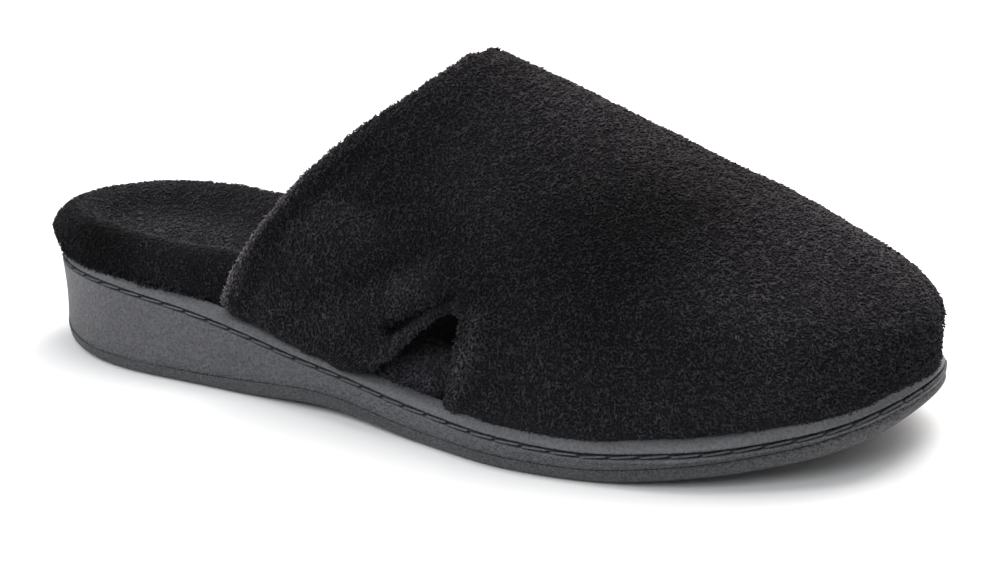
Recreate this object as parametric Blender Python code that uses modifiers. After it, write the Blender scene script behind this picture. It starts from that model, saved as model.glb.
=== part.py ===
# Closed-toe, open-heel plush slipper for the right foot.
# Lengths in the tables are millimetres: along runs from the heel's back to the toe,
# across is plus toward the inner side of the foot, heights are above the floor.
import math
from collections import namedtuple

import bmesh
import bpy
import numpy as np

MM = 0.001

SOLE_LENGTH = 262.0
HEEL_ROUND = 46.0  # length of the rounded heel end
TOE_ROUND = 62.0  # length of the rounded toe end
STATIONS = 50  # steps from heel to toe

GAP = 0.3  # clearance between pieces that touch
RAND_RISE = 3.6  # sloping strip above the stitch groove
CUP_INSET = 4.8  # inside of the midsole's lip, in from the edge
WALL = 4.0  # plush upper with its lining
UPPER_INSET = CUP_INSET + GAP
TAB_WALL = 3.0
TAB_SINK = 1.0  # tab's face below the upper's face
FLAP_LIFT = GAP + WALL - TAB_SINK  # flap lies on the tab

UPPER_STEPS = 30  # sections from collar to toe
HALF_STEPS = 18  # steps up each half of a section

# Plan and side view of the sole.
Sole = namedtuple("Sole", "along centre half_width floor rubber stitch")
SOLE = [
    Sole(0, 0.0, 32.6, 3.5, 4.6, 26.1),
    Sole(12, 0.0, 32.6, 1.0, 4.6, 25.8),
    Sole(28, 0.0, 32.7, 0.0, 4.6, 25.2),
    Sole(60, -1.0, 32.8, 0.0, 4.6, 21.8),
    Sole(74, -2.2, 32.4, 0.0, 4.6, 19.3),
    Sole(105, -4.6, 33.2, 2.0, 4.4, 13.5),
    Sole(140, -5.8, 39.6, 0.0, 3.8, 9.4),
    Sole(165, -4.9, 46.0, 0.0, 3.6, 8.2),
    Sole(190, -1.7, 48.0, 0.0, 3.6, 7.4),
    Sole(212, 1.6, 47.2, 1.2, 3.6, 8.2),
    Sole(236, 5.0, 46.6, 5.4, 3.4, 11.8),
    Sole(262, 7.0, 47.0, 15.0, 3.2, 20.2),
]

# Footbed: how far its side is in from the sole's edge, its rim and the middle of its dish.
Footbed = namedtuple("Footbed", "along base side crest rim dish")
FOOTBED = [
    Footbed(0, 5.4, -3.5, 6.5, 40.6, 31.4),
    Footbed(18, 5.4, -1.2, 6.8, 40.4, 30.4),
    Footbed(40, 5.4, 1.4, 7.2, 39.8, 29.2),
    Footbed(62, 5.6, 3.6, 8.8, 38.7, 27.9),
    Footbed(80, 9.4, 10.2, 13.2, 36.6, 25.8),
    Footbed(110, 9.4, 10.0, 13.0, 28.8, 20.6),
    Footbed(140, 9.4, 9.8, 12.8, 23.4, 16.2),
    Footbed(170, 9.4, 9.6, 12.8, 19.4, 13.6),
    Footbed(200, 9.4, 9.5, 12.6, 17.2, 12.4),
    Footbed(230, 9.8, 9.9, 13.0, 19.4, 15.4),
    Footbed(262, 10.0, 10.1, 13.2, 27.2, 23.8),
]

# Upper: a row per section, from the collar to the toe's tip. Each section runs from its foot
# on the outer side over the ridge to its foot on the inner side. Full is 2 for an ellipse and more
# for a squarer half seen from the front, side the same seen from the side, bow curves the section
# in plan, bulge is the soft swell over the foot and tilt the part of the ridge's slope that the
# top follows.
Upper = namedtuple(
    "Upper",
    "share foot_out foot_in ridge ridge_across ridge_height full_out full_in side bow bulge tilt",
)
UPPER = [
    Upper(0.00, 73.5, 84, 138, 5.0, 94.2, 2.60, 2.60, 1.54, 1.45, 0.0, 0.0),
    Upper(0.25, 120, 120, 161, 5.5, 85.7, 2.40, 2.50, 1.90, 1.80, 1.0, 0.1),
    Upper(0.50, 168, 166, 189, 6.0, 74.2, 2.30, 2.40, 2.20, 1.60, 2.5, 0.5),
    Upper(0.70, 206, 204, 208, 6.5, 66.4, 2.20, 2.20, 2.20, 1.20, 4.0, 0.9),
    Upper(0.85, 238, 237, 221, 7.0, 61.2, 1.96, 1.96, 1.96, 1.00, 5.2, 1.0),
    Upper(1.00, 262, 262, 230, 7.0, 57.2, 1.80, 1.80, 1.80, 1.00, 5.4, 1.0),
]

# Side view of the cut that frees the flap and opens the notch, from the notch's front edge
# over its top and back along the flap's lower edge.
Cut = namedtuple("Cut", "along height")
NOTCH_CUT = [
    Cut(147.6, 0.0),
    Cut(148.0, 18.0),
    Cut(151.2, 29.0),
    Cut(153.6, 35.0),
    Cut(153.2, 37.6),
    Cut(151.2, 38.6),
    Cut(142.0, 34.2),
    Cut(126.0, 24.4),
    Cut(112.0, 20.2),
    Cut(96.0, 20.8),
    Cut(80.0, 24.8),
    Cut(60.0, 31.0),
    Cut(60.0, 0.0),
]
NOTCH_CLIMB = 0.3  # the notch's top, part of the way from foot to ridge
CUT_OUTER = -75.0
CUT_INNER = -8.0

# Tab under the flap: a row per height, measured up the upper's face from the cup's floor.
Tab = namedtuple("Tab", "rise rear front")
TAB = [
    Tab(0.0, 83, 122),
    Tab(8.0, 83, 126),
    Tab(16.0, 83, 133),
    Tab(24.0, 84, 141),
    Tab(32.0, 86, 143),
    Tab(38.0, 90, 138),
    Tab(42.0, 97, 130),
    Tab(43.5, 103, 122),
]
TAB_STEPS = 9


def table_curve(rows, name):
    keys = np.array([row[0] for row in rows], float)
    values = np.array([getattr(row, name) for row in rows], float)
    steps = np.diff(keys)
    slopes = np.diff(values) / steps
    tangents = np.zeros(len(keys))
    tangents[0] = slopes[0]
    tangents[-1] = slopes[-1]
    for i in range(1, len(keys) - 1):
        if slopes[i - 1] * slopes[i] > 0:
            before = 2 * steps[i] + steps[i - 1]
            after = steps[i] + 2 * steps[i - 1]
            tangents[i] = (before + after) / (before / slopes[i - 1] + after / slopes[i])

    def at(key):
        key = np.clip(key, keys[0], keys[-1])
        i = np.clip(np.searchsorted(keys, key, side="right") - 1, 0, len(steps) - 1)
        t = (key - keys[i]) / steps[i]
        rise = values[i + 1] - values[i]
        start = tangents[i] * steps[i]
        end = tangents[i + 1] * steps[i]
        return values[i] + start * t + (3 * rise - 2 * start - end) * t**2 + (start + end - 2 * rise) * t**3

    return at


centre = table_curve(SOLE, "centre")
half_width = table_curve(SOLE, "half_width")
floor_height = table_curve(SOLE, "floor")
rubber = table_curve(SOLE, "rubber")
stitch_height = table_curve(SOLE, "stitch")


def smooth_step(low, high, value):
    t = np.clip((value - low) / (high - low), 0.0, 1.0)
    return t * t * (3 - 2 * t)


def edge(angle):
    # The sole's edge: angle 0 at the heel, pi at the toe, outer side first.
    along = SOLE_LENGTH / 2 * (1 - np.cos(angle))
    heel = np.clip((HEEL_ROUND - along) / HEEL_ROUND, 0.0, 1.0)
    toe = np.clip((along - SOLE_LENGTH + TOE_ROUND) / TOE_ROUND, 0.0, 1.0)
    half = half_width(along) * np.sqrt(1 - heel**2) * np.sqrt(1 - toe**2)
    side = np.where(np.sin(angle) >= 0, -1.0, 1.0)
    return np.stack([along, centre(along) + side * half], axis=-1)


def edge_angle(along):
    return math.acos(1 - 2 * along / SOLE_LENGTH)


def inset_edge(angle, inset):
    ahead = edge(angle + 0.002) - edge(angle - 0.002)
    inward = np.stack([-ahead[..., 1], ahead[..., 0]], axis=-1)
    inward /= np.linalg.norm(inward, axis=-1, keepdims=True)
    return edge(angle) + inward * np.expand_dims(inset, -1)


RING = np.arange(2 * STATIONS) * math.pi / STATIONS
RING_ALONG = edge(RING)[:, 0]


def ring(inset, height):
    # One ring of points round the sole; height is a value per point or a function of along.
    plan = inset_edge(RING, inset + np.zeros(len(RING)))
    z = height(plan[:, 0]) if callable(height) else height
    return np.column_stack([plan, z])


def finish_mesh(name, bm, colour, roughness):
    mesh = bpy.data.meshes.new(name)
    bm.to_mesh(mesh)
    bm.free()
    obj = bpy.data.objects.new(name, mesh)
    material = bpy.data.materials.new(name + "_material")
    material.use_nodes = True
    shader = material.node_tree.nodes["Principled BSDF"]
    shader.inputs["Base Color"].default_value = (*colour, 1.0)
    shader.inputs["Roughness"].default_value = roughness
    mesh.materials.append(material)
    slipper.objects.link(obj)
    obj.parent = stand
    return obj


def add_points(bm, points):
    return [bm.verts.new(point) for point in np.asarray(points) * MM]


def close_ladder(bm, loop):
    # Rungs from the outer to the inner side close a ring.
    count = len(loop)
    for i in range(STATIONS):
        rung = [loop[i], loop[i + 1], loop[count - i - 1], loop[(count - i) % count]]
        bm.faces.new(list(dict.fromkeys(rung)))


def ring_solid(name, rings, colour, roughness):
    bm = bmesh.new()
    loops = [add_points(bm, points) for points in rings]
    for low, high in zip(loops, loops[1:]):
        for i in range(len(low)):
            j = (i + 1) % len(low)
            bm.faces.new((low[i], low[j], high[j], high[i]))
    close_ladder(bm, loops[0])
    close_ladder(bm, loops[-1])
    bmesh.ops.recalc_face_normals(bm, faces=bm.faces)
    return finish_mesh(name, bm, colour, roughness)


def grid_solid(name, grid, wall, colour, roughness):
    # An open sheet of quads with a wall turned inward from it.
    bm = bmesh.new()
    rows = [add_points(bm, points) for points in grid]
    for low, high in zip(rows, rows[1:]):
        for i in range(len(low) - 1):
            bm.faces.new((low[i], high[i], high[i + 1], low[i + 1]))
    bmesh.ops.remove_doubles(bm, verts=bm.verts, dist=0.00001)
    obj = finish_mesh(name, bm, colour, roughness)
    shell = obj.modifiers.new("wall", "SOLIDIFY")
    shell.thickness = wall * MM
    shell.offset = -1.0
    shell.use_even_offset = True
    return obj


UPPER_FEET = [
    row._replace(foot_out=edge_angle(row.foot_out), foot_in=edge_angle(row.foot_in)) for row in UPPER
]
foot_out_angle = table_curve(UPPER_FEET, "foot_out")
foot_in_angle = table_curve(UPPER_FEET, "foot_in")
ridge_along = table_curve(UPPER, "ridge")
ridge_across = table_curve(UPPER, "ridge_across")
ridge_height = table_curve(UPPER, "ridge_height")
full_out = table_curve(UPPER, "full_out")
full_in = table_curve(UPPER, "full_in")
side_full = table_curve(UPPER, "side")
bow = table_curve(UPPER, "bow")
bulge = table_curve(UPPER, "bulge")
tilt = table_curve(UPPER, "tilt")


def section(share, outer):
    # Dense line from a section's foot in the cup, past the lip, up to the ridge.
    angle = foot_out_angle(share) if outer else 2 * math.pi - foot_in_angle(share)
    foot, edge_point = inset_edge(np.array([angle, angle]), np.array([UPPER_INSET, 0.0]))
    outward = (edge_point - foot) / UPPER_INSET
    lip = stitch_height(edge_point[0]) + RAND_RISE
    low = stitch_height(foot[0]) + GAP
    top = np.array([ridge_along(share), ridge_across(share)])
    turn = np.linspace(0.0, math.pi / 2, 160)
    power = 2 / (full_out(share) if outer else full_in(share))
    reach = np.clip(np.cos(turn), 0.0, 1.0) ** power
    climb = np.sin(turn) ** power
    back = np.clip(1 - climb ** side_full(share), 0.0, 1.0) ** (bow(share) / side_full(share))
    plan = top + np.column_stack([back, reach]) * (foot - top)
    plan += outward * (bulge(share) * 1.93 * np.sin(2 * turn) * np.cos(turn) ** 4)[:, None]
    height = lip + (ridge_height(share) - lip) * climb
    slope = (ridge_height(share + 0.01) - ridge_height(share - 0.01)) / max(
        ridge_along(share + 0.01) - ridge_along(share - 0.01), 0.01
    )
    height += tilt(share) * slope * (plan[:, 0] - top[0]) * np.sin(turn) ** 3
    return np.vstack([[*foot, low], np.column_stack([plan, height])])


def along_line(line, distance):
    lengths = np.concatenate([[0.0], np.cumsum(np.linalg.norm(np.diff(line, axis=0), axis=1))])
    return np.column_stack([np.interp(distance, lengths, line[:, k]) for k in range(3)]), lengths[-1]


def half_section(share, outer):
    line = section(share, outer)
    total = along_line(line, [0.0])[1]
    lip = np.linalg.norm(line[1] - line[0])
    distance = np.concatenate([[0.0], np.linspace(lip, total, HALF_STEPS)])
    return along_line(line, distance)[0]


def sheet_normals(grid):
    across = np.gradient(grid, axis=1)
    ahead = np.gradient(grid, axis=0)
    normal = np.cross(across, ahead)
    return normal / np.maximum(np.linalg.norm(normal, axis=2, keepdims=True), 1e-9)


for item in list(bpy.data.objects):
    bpy.data.objects.remove(item)

slipper = bpy.data.collections.new("slipper")
bpy.context.scene.collection.children.link(slipper)
cutters = bpy.data.collections.new("cutters")
bpy.context.scene.collection.children.link(cutters)
stand = bpy.data.objects.new("stand", None)
slipper.objects.link(stand)

# Outsole: flat tread face, rounded edge, small chamfer at the joint with the midsole.
tread = floor_height(RING_ALONG)
joint = tread + rubber(RING_ALONG)
outsole = ring_solid(
    "outsole",
    [
        ring(4.0, tread),
        ring(1.6, tread + 0.3),
        ring(0.5, tread + 1.2),
        ring(0.1, joint - 1.3),
        ring(0.3, joint - 0.6),
        ring(1.1, joint),
    ],
    (0.115, 0.120, 0.130),
    0.6,
)

# Midsole: wall, stitch groove, sloping strip and the lip of the cup.
stitch = stitch_height(RING_ALONG)
wall_foot = joint + GAP
wall_rise = stitch - wall_foot
midsole = ring_solid(
    "midsole",
    [
        ring(1.2, wall_foot),
        ring(0.4, wall_foot + 0.8),
        ring(0.4 + 0.02 * wall_rise, wall_foot + 0.45 * wall_rise),
        ring(0.1, stitch - 1.5),
        ring(0.1, stitch - 0.8),
        ring(1.4, stitch - 0.3),
        ring(1.4, stitch + 0.3),
        ring(0.5, stitch + 0.8),
        ring(1.5, stitch + 2.2),
        ring(3.0, stitch + RAND_RISE - 0.3),
        ring(CUP_INSET - 0.5, stitch + RAND_RISE),
        ring(CUP_INSET, stitch + RAND_RISE - 0.5),
        ring(CUP_INSET, stitch_height),
    ],
    (0.125, 0.130, 0.140),
    0.6,
)

# Footbed: sits on the cup's floor, round rim, dished middle.
base = table_curve(FOOTBED, "base")(RING_ALONG)
side = table_curve(FOOTBED, "side")(RING_ALONG)
crest = table_curve(FOOTBED, "crest")(RING_ALONG)
rim = table_curve(FOOTBED, "rim")(RING_ALONG)
dish = table_curve(FOOTBED, "dish")(RING_ALONG)
lip = stitch + RAND_RISE
rise = rim - lip
depth = rim - dish
footbed = ring_solid(
    "footbed",
    [
        ring(base, lambda along: stitch_height(along) + GAP),
        ring(base, lip + 0.4),
        ring(side + 0.35 * (base - side), lip + 0.6),
        ring(side, lip + 0.30 * rise),
        ring(side + 0.14 * (crest - side), lip + 0.64 * rise),
        ring(side + 0.52 * (crest - side), lip + 0.92 * rise),
        ring(crest, rim),
        ring(crest + 3.0, rim - 0.12 * depth),
        ring(crest + 6.0, rim - 0.45 * depth),
        ring(crest + 9.5, rim - 0.80 * depth),
        ring(crest + 14.0, rim - 0.97 * depth),
    ],
    (0.016, 0.016, 0.017),
    0.95,
)

# Upper: outer half and inner half of each section joined at the ridge; the flap stands off the tab.
shares = np.linspace(0.0, 1.0, UPPER_STEPS + 1)
outer_half = np.array([half_section(share, True) for share in shares])
inner_half = np.array([half_section(share, False) for share in shares])
climb = np.linspace(0.0, 1.0, HALF_STEPS + 1)
feet = edge(foot_out_angle(shares))[:, :1]
beside_notch = smooth_step(0.0, NOTCH_CLIMB, climb)
flap_length = 1 - smooth_step(126.0 + 20.0 * beside_notch, 147.0 + 31.0 * beside_notch, feet)
lift = FLAP_LIFT * flap_length * (1 - smooth_step(0.46, 0.76, climb))
outer_half = outer_half - sheet_normals(outer_half) * lift[:, :, None]
upper_grid = np.concatenate([outer_half, inner_half[:, -2::-1]], axis=1)
upper = grid_solid("upper", upper_grid, WALL, (0.014, 0.014, 0.015), 0.95)

bm = bmesh.new()
profile = add_points(bm, [(cut.along, CUT_OUTER, cut.height) for cut in NOTCH_CUT])
face = bm.faces.new(profile)
pushed = bmesh.ops.extrude_face_region(bm, geom=[face])["geom"]
moved = [item for item in pushed if isinstance(item, bmesh.types.BMVert)]
bmesh.ops.translate(bm, verts=moved, vec=(0.0, (CUT_INNER - CUT_OUTER) * MM, 0.0))
bmesh.ops.recalc_face_normals(bm, faces=bm.faces)
notch_mesh = bpy.data.meshes.new("notch_cutter")
bm.to_mesh(notch_mesh)
bm.free()
notch_cutter = bpy.data.objects.new("notch_cutter", notch_mesh)
cutters.objects.link(notch_cutter)
notch_cutter.parent = stand
notch_cutter.hide_render = True
notch_cutter.display_type = "WIRE"
notch = upper.modifiers.new("notch", "BOOLEAN")
notch.operation = "DIFFERENCE"
notch.solver = "EXACT"
notch.object = notch_cutter

# Tab: part of the upper's own face, set inside the flap.
fine_shares = np.linspace(0.0, 1.0, 401)
tab_grid = []
for row in TAB:
    line_points = []
    for foot_at in np.linspace(row.rear, row.front, TAB_STEPS + 1):
        share = np.interp(edge_angle(foot_at), foot_out_angle(fine_shares), fine_shares)
        line_points.append(along_line(section(share, True), [row.rise])[0][0])
    tab_grid.append(line_points)
tab_grid = np.array(tab_grid).transpose(1, 0, 2)
tab_grid = tab_grid + sheet_normals(tab_grid) * TAB_SINK
side_tab = grid_solid("side_tab", tab_grid, TAB_WALL, (0.016, 0.016, 0.017), 0.95)

# The shoe's box is centred over the origin.
bpy.context.view_layer.update()
graph = bpy.context.evaluated_depsgraph_get()
corners = []
for piece in (outsole, midsole, footbed, upper, side_tab):
    solid = piece.evaluated_get(graph).to_mesh()
    corners += [tuple(vertex.co) for vertex in solid.vertices]
corners = np.array(corners)
middle = (corners.min(axis=0) + corners.max(axis=0)) / 2
stand.location = (-middle[0], -middle[1], -corners[:, 2].min())
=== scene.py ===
import math

import bmesh
import bpy
import numpy as np
from mathutils import Euler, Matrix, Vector, noise
from mathutils.kdtree import KDTree


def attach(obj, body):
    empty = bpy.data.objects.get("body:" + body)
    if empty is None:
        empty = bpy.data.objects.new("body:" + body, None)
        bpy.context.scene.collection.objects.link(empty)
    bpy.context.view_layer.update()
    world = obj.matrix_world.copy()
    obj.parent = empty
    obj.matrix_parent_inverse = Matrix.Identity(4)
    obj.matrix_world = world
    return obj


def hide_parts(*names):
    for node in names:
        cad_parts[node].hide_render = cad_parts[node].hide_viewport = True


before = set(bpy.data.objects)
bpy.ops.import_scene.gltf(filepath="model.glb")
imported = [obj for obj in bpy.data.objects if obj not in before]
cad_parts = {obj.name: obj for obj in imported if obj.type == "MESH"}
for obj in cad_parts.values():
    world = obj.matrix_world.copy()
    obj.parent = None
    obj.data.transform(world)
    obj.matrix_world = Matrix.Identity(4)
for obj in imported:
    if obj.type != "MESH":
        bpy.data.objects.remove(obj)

mm = 0.001
scene = bpy.context.scene
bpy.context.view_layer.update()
print("frame loaded", len(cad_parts), "nodes")


# camera, floor and light

shot = dict(place=(265.61, -488.86, 220.12), turn=(71.04, 1.256, 26.896), lens=77.75)
cameraData = bpy.data.cameras.new("studioCamera")
cameraData.lens = shot["lens"]
cameraData.sensor_width = 36.0
camera = bpy.data.objects.new("studioCamera", cameraData)
camera.location = Vector(shot["place"]) * mm
camera.rotation_euler = Euler([math.radians(angle) for angle in shot["turn"]])
scene.collection.objects.link(camera)
scene.camera = camera
scene.view_settings.view_transform = "Standard"

studio = dict(floorSize=6.0, floorColour=(0.93, 0.93, 0.93), sky=0.14, skyColour=(0.97, 0.985, 1.0))
softBoxes = [
    dict(name="topBox", place=(0.08, 0.36, 1.20), size=1.1, power=18.0, colour=(1.0, 0.985, 0.975)),
    dict(name="backBox", place=(0.25, 1.15, 0.66), size=1.0, power=12.6, colour=(1.0, 0.965, 0.95)),
    dict(name="leftBox", place=(-0.95, -0.45, 0.60), size=0.9, power=6.4, colour=(0.97, 0.98, 1.0)),
    dict(name="frontBox", place=(0.18, -1.05, 1.00), size=0.8, power=9.9, colour=(0.97, 0.985, 1.0)),
]

world = bpy.data.worlds.new("studioSky")
scene.world = world
world.use_nodes = True
sky = world.node_tree.nodes["Background"]
sky.inputs["Color"].default_value = (*studio["skyColour"], 1.0)
sky.inputs["Strength"].default_value = studio["sky"]

for box in softBoxes:
    lamp = bpy.data.lights.new(box["name"], "AREA")
    lamp.shape = "SQUARE"
    lamp.size = box["size"]
    lamp.energy = box["power"]
    lamp.color = box["colour"]
    lampObject = bpy.data.objects.new(box["name"], lamp)
    lampObject.location = box["place"]
    aim = Vector((0.0, 0.0, 0.03)) - Vector(box["place"])
    lampObject.rotation_euler = aim.to_track_quat("-Z", "Y").to_euler()
    scene.collection.objects.link(lampObject)


def addPiece(name, bm):
    mesh = bpy.data.meshes.new(name)
    bm.to_mesh(mesh)
    bm.free()
    piece = bpy.data.objects.new(name, mesh)
    scene.collection.objects.link(piece)
    return piece


def newMaterial(name):
    material = bpy.data.materials.new(name)
    material.use_nodes = True
    nodes = material.node_tree.nodes
    return material, nodes, material.node_tree.links, nodes["Principled BSDF"]


floorBm = bmesh.new()
bmesh.ops.create_grid(floorBm, x_segments=2, y_segments=2, size=studio["floorSize"] / 2)
floor = addPiece("studioFloor", floorBm)
floorMaterial, nodes, links, shader = newMaterial("paleFloor")
shader.inputs["Base Color"].default_value = (*studio["floorColour"], 1.0)
shader.inputs["Roughness"].default_value = 0.9
shader.inputs["Specular IOR Level"].default_value = 0.1
floor.data.materials.append(floorMaterial)
print("studio set")


# helpers shared by the pieces

def mergedCopy(nodeName):
    bm = bmesh.new()
    bm.from_mesh(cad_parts[nodeName].data)
    bmesh.ops.remove_doubles(bm, verts=bm.verts, dist=0.02 * mm)
    bmesh.ops.join_triangles(
        bm,
        faces=bm.faces,
        angle_face_threshold=math.radians(50),
        angle_shape_threshold=math.radians(80),
    )
    for face in bm.faces:
        face.material_index = 0
    return bm


def bakeModifiers(piece):
    graph = bpy.context.evaluated_depsgraph_get()
    baked = bpy.data.meshes.new_from_object(piece.evaluated_get(graph))
    piece.modifiers.clear()
    piece.data = baked
    baked.materials.clear()
    baked.shade_smooth()


def addRounding(piece, levels):
    rounding = piece.modifiers.new("round", "SUBSURF")
    rounding.levels = rounding.render_levels = levels


def softCopy(nodeName, pieceName, size):
    piece = addPiece(pieceName, mergedCopy(nodeName))
    addRounding(piece, size["rounds"])
    remesh = piece.modifiers.new("even", "REMESH")
    remesh.mode = "VOXEL"
    remesh.voxel_size = size["voxel"] * mm
    relax = piece.modifiers.new("relax", "SMOOTH")
    relax.factor = 0.5
    relax.iterations = size["relax"]
    bakeModifiers(piece)
    return piece


def readVerts(mesh):
    co = np.empty(len(mesh.vertices) * 3, np.float32)
    mesh.vertices.foreach_get("co", co)
    normals = np.empty(len(mesh.vertices) * 3, np.float32)
    mesh.vertex_normals.foreach_get("vector", normals)
    return co.reshape(-1, 3).astype(float) / mm, normals.reshape(-1, 3).astype(float)


def writeVerts(mesh, co):
    mesh.vertices.foreach_set("co", (co * mm).astype(np.float32).ravel())
    mesh.update()


def smoothStep(low, high, value):
    t = np.clip((value - low) / (high - low), 0.0, 1.0)
    return t * t * (3 - 2 * t)


def lineDistance(points, line):
    best = np.full(len(points), 1e9)
    for start, end in zip(line, line[1:]):
        start = np.array(start, float)
        span = np.array(end, float) - start
        t = np.clip((points - start) @ span / (span @ span), 0.0, 1.0)
        best = np.minimum(best, np.linalg.norm(points - start - t[:, None] * span, axis=1))
    return best


def lineShare(points, line, width):
    # 1 on the line, fading over its width
    return np.exp(-((lineDistance(points, line) / width) ** 2))


def spotShare(points, spot):
    # 1 at the spot, fading over its reach
    distance = np.linalg.norm(points - np.array(spot["spot"]), axis=1)
    return np.exp(-((distance / spot["reach"]) ** 2))


def lumpy(points, scale, seed):
    shift = Vector((seed * 3.7, seed * 1.3, seed * 2.1))
    return np.array([noise.noise(Vector(p) / scale + shift) for p in points])


def outwardShare(co, normals):
    # how far a normal points away from the middle of the shoe
    middle = np.column_stack([np.clip(co[:, 0], -130, 70), np.full(len(co), 2.0), np.full(len(co), 30.0)])
    away = co - middle
    away[:, 0] *= 0.6
    away /= np.linalg.norm(away, axis=1, keepdims=True)
    return np.sum(away * normals, axis=1)


def setAttribute(mesh, name, values):
    attribute = mesh.attributes.new(name, "FLOAT", "POINT")
    attribute.data.foreach_set("value", np.asarray(values, np.float32))


def joinedMesh(name, points, faces):
    # many small shapes in one mesh, from arrays in millimetres
    count, corners = faces.shape
    mesh = bpy.data.meshes.new(name)
    mesh.vertices.add(len(points))
    mesh.vertices.foreach_set("co", (points * mm).astype(np.float32).ravel())
    mesh.loops.add(count * corners)
    mesh.loops.foreach_set("vertex_index", faces.astype(np.int32).ravel())
    mesh.polygons.add(count)
    mesh.polygons.foreach_set("loop_start", np.arange(0, count * corners, corners, dtype=np.int32))
    mesh.update()
    mesh.validate()
    mesh.shade_smooth()
    piece = bpy.data.objects.new(name, mesh)
    scene.collection.objects.link(piece)
    return piece


def unit(vectors):
    return vectors / np.maximum(np.linalg.norm(vectors, axis=1, keepdims=True), 1e-9)


def inPlane(vectors, up):
    return vectors - np.sum(vectors * up, axis=1, keepdims=True) * up


tuftShape = dict(
    layOver=0.7, curlSpread=0.4, strayTip=0.25, lengthSpread=0.4, heapLength=0.45,
    widthSpread=0.6, bend=0.55, toneSpread=0.6, heapTone=0.8,
)


def spreadOut(rng, count, width):
    # random factors round 1
    return 1 - width / 2 + width * rng.random(count)


def growPile(name, body, pile, seed):
    # tufts of cut pile, each a slim closed bipyramid whose tip lies over
    mesh = body.data
    mesh.calc_loop_triangles()
    corner = np.empty(len(mesh.loop_triangles) * 3, np.int32)
    mesh.loop_triangles.foreach_get("vertices", corner)
    corner = corner.reshape(-1, 3)
    co, normals = readVerts(mesh)
    a, b, c = (co[corner[:, k]] for k in range(3))
    area = np.linalg.norm(np.cross(b - a, c - a), axis=1) / 2
    running = np.cumsum(area * pile["cover"]((a + b + c) / 3, unit(normals[corner].mean(axis=1))))
    rng = np.random.default_rng(seed)
    count = int(running[-1] * pile["perSquareMm"])
    pick = np.searchsorted(running, (np.arange(count) + rng.random(count)) / count * running[-1])
    pick = np.minimum(pick, len(corner) - 1)
    u = np.sqrt(rng.random(count))[:, None]
    v = rng.random(count)[:, None]
    mix = np.concatenate([1 - u, u * (1 - v), u * v], axis=1)
    root = np.einsum("nk,nkd->nd", mix, co[corner[pick]])
    up = unit(np.einsum("nk,nkd->nd", mix, normals[corner[pick]]))
    stray = rng.normal(size=(count, 3))
    clump = np.column_stack([lumpy(root, pile["clump"], seed + k) for k in (1, 2, 3)])
    heap = lumpy(root, pile["heap"], 9)
    lean = unit(inPlane(pile["nap"](root, up) + stray * pile["stray"] + clump * pile["clumpLean"], up))
    lying = pile["lean"] + tuftShape["layOver"] * smoothStep(0.3, 0.7, up[:, 2])
    first = unit(up + lean * lying[:, None])
    curlShare = 1 - tuftShape["curlSpread"] + tuftShape["curlSpread"] * rng.random(count)
    curl = (pile["curl"] * curlShare)[:, None]
    second = unit(up * (1 - curl) + lean * curl + tuftShape["strayTip"] * stray)
    length = pile["length"] * pile["grow"](root, up) * spreadOut(rng, count, tuftShape["lengthSpread"])
    length = (length * (1 + tuftShape["heapLength"] * heap))[:, None]
    width = (pile["width"] * spreadOut(rng, count, tuftShape["widthSpread"]))[:, None]
    base = root - up * pile["sink"]
    middle = base + first * length * tuftShape["bend"]
    tip = middle + second * length * (1 - tuftShape["bend"])
    axis = unit(first + second)
    side = unit(np.cross(axis, up) + 1e-6)
    cross = np.cross(axis, side)
    ringPoints = []
    for k in range(3):
        turn = 2 * math.pi * k / 3
        outward = side * math.cos(turn) + cross * math.sin(turn) * pile["flat"]
        ringPoints.append(middle + width / 2 * outward)
    points = np.stack([base, *ringPoints, tip], axis=1).reshape(-1, 3)
    pattern = np.array([[2, 1, 0], [3, 2, 0], [1, 3, 0], [1, 2, 4], [2, 3, 4], [3, 1, 4]])
    faces = (pattern[None] + 5 * np.arange(count)[:, None, None]).reshape(-1, 3)
    piece = joinedMesh(name, points, faces)
    setAttribute(piece.data, "tip", np.tile([0.0, 0.6, 0.6, 0.6, 1.0], count))
    clothTone = pile["tone"](root, up)
    tone = spreadOut(rng, count, tuftShape["toneSpread"]) * (1 + tuftShape["heapTone"] * heap) * clothTone
    setAttribute(piece.data, "tuft", np.repeat(tone, 5))
    # tufts that face up, and the palest ones, get the warm tip colour: a painted sheen
    paintedSheen = np.maximum(smoothStep(0.35, 0.9, up[:, 2]), smoothStep(1.5, 2.4, clothTone))
    setAttribute(piece.data, "paintedSheen", np.repeat(paintedSheen, 5))
    facing = piece.data.attributes.new("facing", "FLOAT_VECTOR", "POINT")
    facing.data.foreach_set("vector", np.repeat(up, 5, axis=0).astype(np.float32).ravel())
    print(name, count, "tufts", len(faces), "triangles")
    return piece


# outline of the sole, for the stitches, the groove and the lower edge of the plush

soleRows = np.array([
    # along, middle, half width, stitch line
    (0, 0.0, 32.6, 26.1), (12, 0.0, 32.6, 25.8), (28, 0.0, 32.7, 25.2), (60, -1.0, 32.8, 21.8),
    (74, -2.2, 32.4, 19.3), (105, -4.6, 33.2, 13.5), (140, -5.8, 39.6, 9.4), (165, -4.9, 46.0, 8.2),
    (190, -1.7, 48.0, 7.4), (212, 1.6, 47.2, 8.2), (236, 5.0, 46.6, 11.8), (262, 7.0, 47.0, 20.2),
])
soleShape = dict(long=262.0, heelRound=46.0, toeRound=62.0, shift=(-129.2, 1.574), strip=3.6)


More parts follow.
